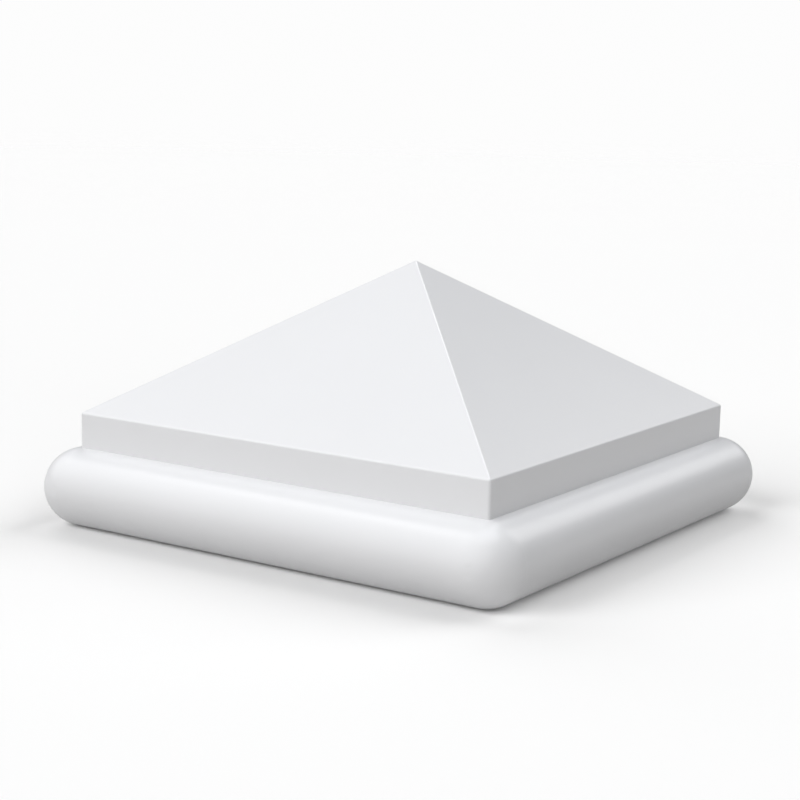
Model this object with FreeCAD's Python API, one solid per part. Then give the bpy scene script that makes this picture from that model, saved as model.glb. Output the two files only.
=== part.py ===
import FreeCAD, Part
import math
import os

# Square newel post cap, moulded in one piece: a base with a full bullnose edge,
# a low upright band and a pyramid that sheds rain.
# Millimetres, +Z up. The origin is the middle of the flat underside, and X and Y are square to the sides.

# Driving dimensions
cap_width = 400.05  # across the bullnose, the same both ways
base_height = 57.15  # underside to the top of the base, all of it taken up by the bullnose
band_lap = 1.5875  # how far the band stands out over the start of the bullnose
band_height = 25.4  # top of the base to the eaves
pyramid_rise = 111.125  # eaves to the rounded tip
arris_radius = 2.0  # softening of the band's corners, the eaves, the hips and the tip

# The bullnose is a half-round, so its radius is half the base's height, and the base's flats end where it starts.
nose_radius = base_height / 2
flat_half = cap_width / 2 - nose_radius
band_half = flat_half + band_lap
eaves_height = base_height + band_height
tip_height = eaves_height + pyramid_rise

SIDES = 4
QUARTER_TURN = 360 / SIDES
ROUND_JOIN = 0  # a grown solid gets rounded edges and corners
GROW_TOLERANCE = 1e-4

Vector = FreeCAD.Vector
UP = Vector(0, 0, 1)
CENTRE = Vector(0, 0, 0)


def corners(half, height):
    """Corners of a level square about the Z axis."""
    low, high = -half, half
    plan = ((low, low), (high, low), (high, high), (low, high))
    return [Vector(x, y, height) for x, y in plan]


def panel(*points):
    """Flat face between these corners."""
    return Part.Face(Part.makePolygon([*points, points[0]]))


def base_core():
    """Square block between the base's two flats."""
    return panel(*corners(flat_half, 0)).extrude(UP * base_height)


def nose_section():
    """Half disc that stands on the +X side of the block: the section of the bullnose."""
    low = Vector(flat_half, 0, 0)
    nose = Vector(flat_half + nose_radius, 0, nose_radius)
    high = Vector(flat_half, 0, base_height)
    curve = Part.Arc(low, nose, high).toShape()
    back = Part.LineSegment(high, low).toShape()
    return Part.Face(Part.Wire([curve, back]))


def bullnose():
    """The half-round all the way round: on each side a straight run, then a quarter of a ball at the corner."""
    section = nose_section()
    start = section.translated(Vector(0, -flat_half, 0))
    end = section.translated(Vector(0, flat_half, 0))
    run = start.extrude(Vector(0, 2 * flat_half, 0))
    corner = end.revolve(Vector(flat_half, flat_half, 0), UP, QUARTER_TURN)
    pieces = []
    for side in range(SIDES):
        for piece in (run, corner):
            pieces.append(piece.rotated(CENTRE, UP, QUARTER_TURN * side))
    return pieces


def band_and_pyramid():
    """Band and pyramid, with every outside edge, the eaves' corners and the tip rounded.

    A sharp-edged core lies one arris radius inside the finished faces and is grown by that radius.
    Its foot is sunk to the middle of the base.
    """
    core_half = band_half - arris_radius
    core_rise = pyramid_rise - arris_radius
    # A finished face passes through the eaves' sharp line and touches the rounding of the tip.
    slope = math.atan2(core_rise, band_half) + math.asin(arris_radius / math.hypot(core_rise, band_half))
    core_eaves = eaves_height - arris_radius * (1 - math.sin(slope)) / math.cos(slope)
    foot = corners(core_half, nose_radius)
    eaves = corners(core_half, core_eaves)
    tip = UP * (tip_height - arris_radius)
    faces = [panel(*foot)]
    for side in range(SIDES):
        before = side - 1
        faces.append(panel(foot[before], foot[side], eaves[side], eaves[before]))
        faces.append(panel(eaves[before], eaves[side], tip))
    core = Part.makeSolid(Part.makeShell(faces))
    return core.makeOffsetShape(arris_radius, GROW_TOLERANCE, join=ROUND_JOIN)


def post_cap():
    """The whole moulding as one solid."""
    moulding = base_core().multiFuse(bullnose() + [band_and_pyramid()])
    return moulding.removeSplitter().Solids[0]


os.makedirs("parts", exist_ok=True)
post_cap().exportStep("parts/post_cap.step")
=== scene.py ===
import math

import bpy
from mathutils import Matrix, Vector

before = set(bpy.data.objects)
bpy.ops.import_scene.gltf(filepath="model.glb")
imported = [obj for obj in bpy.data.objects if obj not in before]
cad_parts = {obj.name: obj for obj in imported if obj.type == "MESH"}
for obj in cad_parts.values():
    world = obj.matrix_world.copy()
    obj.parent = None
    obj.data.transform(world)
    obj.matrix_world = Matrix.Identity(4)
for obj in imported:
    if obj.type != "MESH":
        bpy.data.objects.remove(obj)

# A newel post cap in satin white primer, on a pale seamless floor under soft studio light.
# Metres and degrees, in the part's own frame: +Z up, the origin in the middle of the underside.

# Camera, placed about the point that the lens axis goes through. Sensor and lens are in millimetres.
AIM = Vector((-0.0077, -0.0050, 0.0890))
CAMERA_AZIMUTH = 33.61
CAMERA_ELEVATION = 10.14
CAMERA_DISTANCE = 1.3889
CAMERA_ROLL = 1.37
SENSOR_WIDTH = 36.0
LENS = 83.56

# Primer. The mottle varies its shade, the gloss its roughness and the peel its height.
PRIMER_COLOR = (0.80, 0.80, 0.81)
PRIMER_SHADE = (0.78, 0.78, 0.79)
MOTTLE_SCALE = 9.0
MOTTLE_DETAIL = 4.0
ROUGHNESS_RANGE = (0.28, 0.34)
GLOSS_SCALE = 30.0
GLOSS_DETAIL = 3.0
PEEL_SCALE = 700.0
PEEL_DETAIL = 2.0
PEEL_STRENGTH = 0.03
PEEL_HEIGHT = 0.0004

# Floor. The camera sees its colour, and the light that it throws back has the darker bounce colour.
# It fades out between two distances from the middle.
FLOOR_RADIUS = 9.0
FLOOR_SEGMENTS = 96
FLOOR_GAP = 0.0002
FLOOR_COLOR = (0.95, 0.95, 0.95)
FLOOR_BOUNCE = (0.62, 0.62, 0.62)
FLOOR_FADE = (2.0, 8.0)

# Light. Each soft light has an azimuth, an elevation, an angular width, a strength and a colour.
# The cap and the floor have lights of their own, which keeps the shadow on the floor faint and soft.
BACKDROP = (0.98, 0.98, 0.98)
WHITE = (1.0, 1.0, 1.0)
COOL = (0.93, 0.96, 1.0)
CAP_LIGHTS = {
    "cap front": (348, 30, 90, 2.00, WHITE),
    "cap left": (282, 32, 45, 0.48, WHITE),
    "cap high left": (284, 56, 15, 0.22, WHITE),
    "cap right": (90, 30, 90, 0.49, WHITE),
    "cap back": (164, 32, 26, 0.38, WHITE),
    "cap high back": (204, 57, 14, 0.42, WHITE),
    "cap top": (0, 90, 45, 1.24, COOL),
}
FLOOR_LIGHTS = {
    "floor front left": (338, 31, 45, 2.23, WHITE),
    "floor front right": (60, 15, 30, 0.70, WHITE),
    "floor right": (90, 40, 45, 0.53, WHITE),
    "floor back right": (150, 40, 45, 1.41, WHITE),
    "floor back left": (240, 40, 45, 1.02, WHITE),
}


def direction(azimuth, elevation):
    """Unit vector from the origin. Azimuth 0 is the -Y side and 90 the +X side."""
    turn = math.radians(azimuth)
    rise = math.radians(elevation)
    level = math.cos(rise)
    return Vector((math.sin(turn) * level, -math.cos(turn) * level, math.sin(rise)))


def opaque(color):
    """Colour with full alpha, as a colour socket takes it."""
    return (*color, 1.0)


def new_tree(owner):
    """Empty node tree of a material or world."""
    owner.use_nodes = True
    owner.node_tree.nodes.clear()
    return owner.node_tree


def add_node(tree, kind, inputs=None, **settings):
    """Node with some of its settings and unlinked inputs given."""
    node = tree.nodes.new(kind)
    for name, value in settings.items():
        setattr(node, name, value)
    for name, value in (inputs or {}).items():
        node.inputs[name].default_value = value
    return node


def noise(tree, place, scale, detail):
    """Noise in the part's own metres."""
    node = add_node(tree, "ShaderNodeTexNoise", {"Scale": scale, "Detail": detail})
    tree.links.new(place.outputs["Object"], node.inputs["Vector"])
    return node.outputs["Fac"]


def primer():
    """Satin white factory primer: faintly mottled in shade and gloss, with a fine orange peel."""
    material = bpy.data.materials.new("satin white primer")
    tree = new_tree(material)
    place = add_node(tree, "ShaderNodeTexCoord")
    surface = add_node(tree, "ShaderNodeBsdfPrincipled")
    output = add_node(tree, "ShaderNodeOutputMaterial")
    tree.links.new(surface.outputs["BSDF"], output.inputs["Surface"])

    colors = {"A": opaque(PRIMER_COLOR), "B": opaque(PRIMER_SHADE)}
    shade = add_node(tree, "ShaderNodeMix", colors, data_type="RGBA")
    tree.links.new(noise(tree, place, MOTTLE_SCALE, MOTTLE_DETAIL), shade.inputs["Factor"])
    tree.links.new(shade.outputs["Result"], surface.inputs["Base Color"])

    low, high = ROUGHNESS_RANGE
    gloss = add_node(tree, "ShaderNodeMapRange", {"To Min": low, "To Max": high})
    tree.links.new(noise(tree, place, GLOSS_SCALE, GLOSS_DETAIL), gloss.inputs["Value"])
    tree.links.new(gloss.outputs["Result"], surface.inputs["Roughness"])

    peel = add_node(tree, "ShaderNodeBump", {"Strength": PEEL_STRENGTH, "Distance": PEEL_HEIGHT})
    tree.links.new(noise(tree, place, PEEL_SCALE, PEEL_DETAIL), peel.inputs["Height"])
    tree.links.new(peel.outputs["Normal"], surface.inputs["Normal"])
    return material


def paint_cap(cap):
    """Gives the moulding its primer."""
    finish = primer()
    for slot in cap.material_slots:
        slot.material = finish


def floor_white(tree):
    """Matt white that throws little light back up."""
    rays = add_node(tree, "ShaderNodeLightPath")
    colors = {"A": opaque(FLOOR_BOUNCE), "B": opaque(FLOOR_COLOR)}
    color = add_node(tree, "ShaderNodeMix", colors, data_type="RGBA")
    white = add_node(tree, "ShaderNodeBsdfDiffuse")
    tree.links.new(rays.outputs["Is Camera Ray"], color.inputs["Factor"])
    tree.links.new(color.outputs["Result"], white.inputs["Color"])
    return white.outputs["BSDF"]


def floor_fade(tree):
    """How clear the floor is: not at all near the object, and wholly clear far away."""
    place = add_node(tree, "ShaderNodeTexCoord")
    reach = add_node(tree, "ShaderNodeVectorMath", operation="LENGTH")
    near, far = FLOOR_FADE
    limits = {"From Min": near, "From Max": far}
    fade = add_node(tree, "ShaderNodeMapRange", limits, interpolation_type="SMOOTHSTEP")
    tree.links.new(place.outputs["Object"], reach.inputs["Vector"])
    tree.links.new(reach.outputs["Value"], fade.inputs["Value"])
    return fade.outputs["Result"]


def floor_material():
    """Matt white that fades out far from the object, so that no edge shows."""
    material = bpy.data.materials.new("floor")
    tree = new_tree(material)
    clear = add_node(tree, "ShaderNodeBsdfTransparent")
    mix = add_node(tree, "ShaderNodeMixShader")
    output = add_node(tree, "ShaderNodeOutputMaterial")
    clearness, near, far = mix.inputs
    tree.links.new(floor_fade(tree), clearness)
    tree.links.new(floor_white(tree), near)
    tree.links.new(clear.outputs["BSDF"], far)
    tree.links.new(mix.outputs["Shader"], output.inputs["Surface"])
    return material


def lay_floor():
    """Round floor just under the object."""
    bpy.ops.mesh.primitive_circle_add(
        vertices=FLOOR_SEGMENTS, radius=FLOOR_RADIUS, fill_type="NGON", location=(0, 0, -FLOOR_GAP)
    )
    floor = bpy.context.object
    floor.name = "floor"
    floor.data.materials.append(floor_material())
    return floor


def light_world():
    """White backdrop that only the camera sees, so that it adds no light."""
    world = bpy.data.worlds.new("studio")
    bpy.context.scene.world = world
    tree = new_tree(world)
    rays = add_node(tree, "ShaderNodeLightPath")
    backdrop = add_node(tree, "ShaderNodeBackground", {"Color": opaque(BACKDROP)})
    output = add_node(tree, "ShaderNodeOutputWorld")
    tree.links.new(rays.outputs["Is Camera Ray"], backdrop.inputs["Strength"])
    tree.links.new(backdrop.outputs["Background"], output.inputs["Surface"])


def add_sun(name, azimuth, elevation, angle, strength, color):
    """Far soft light that comes from the given side."""
    light = bpy.data.lights.new(name, "SUN")
    light.angle = math.radians(angle)
    light.energy = strength
    light.color = color
    sun = bpy.data.objects.new(name, light)
    sun.rotation_mode = "QUATERNION"
    sun.rotation_quaternion = direction(azimuth, elevation).to_track_quat("Z", "Y")
    bpy.context.scene.collection.objects.link(sun)
    return sun


def add_lights(lights, floor, state):
    """Soft lights that light the floor alone (INCLUDE) or all but the floor (EXCLUDE)."""
    receivers = bpy.data.collections.new("light linking")
    receivers.objects.link(floor)
    receivers.collection_objects[0].light_linking.link_state = state
    for name, settings in lights.items():
        sun = add_sun(name, *settings)
        sun.light_linking.receiver_collection = receivers


def place_camera():
    """Camera at the photograph's viewing angle, upright but for a slight roll."""
    lens = bpy.data.cameras.new("camera")
    lens.sensor_width = SENSOR_WIDTH
    lens.lens = LENS
    back = direction(CAMERA_AZIMUTH, CAMERA_ELEVATION)
    facing = back.to_track_quat("Z", "Y").to_matrix().to_4x4()
    roll = Matrix.Rotation(math.radians(CAMERA_ROLL), 4, "Z")
    camera = bpy.data.objects.new("camera", lens)
    camera.matrix_world = Matrix.Translation(AIM + back * CAMERA_DISTANCE) @ facing @ roll
    bpy.context.scene.collection.objects.link(camera)
    bpy.context.scene.camera = camera


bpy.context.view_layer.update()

paint_cap(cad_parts["post_cap"])
floor = lay_floor()
light_world()
add_lights(CAP_LIGHTS, floor, "EXCLUDE")
add_lights(FLOOR_LIGHTS, floor, "INCLUDE")
place_camera()
bpy.context.scene.view_settings.view_transform = "Standard"
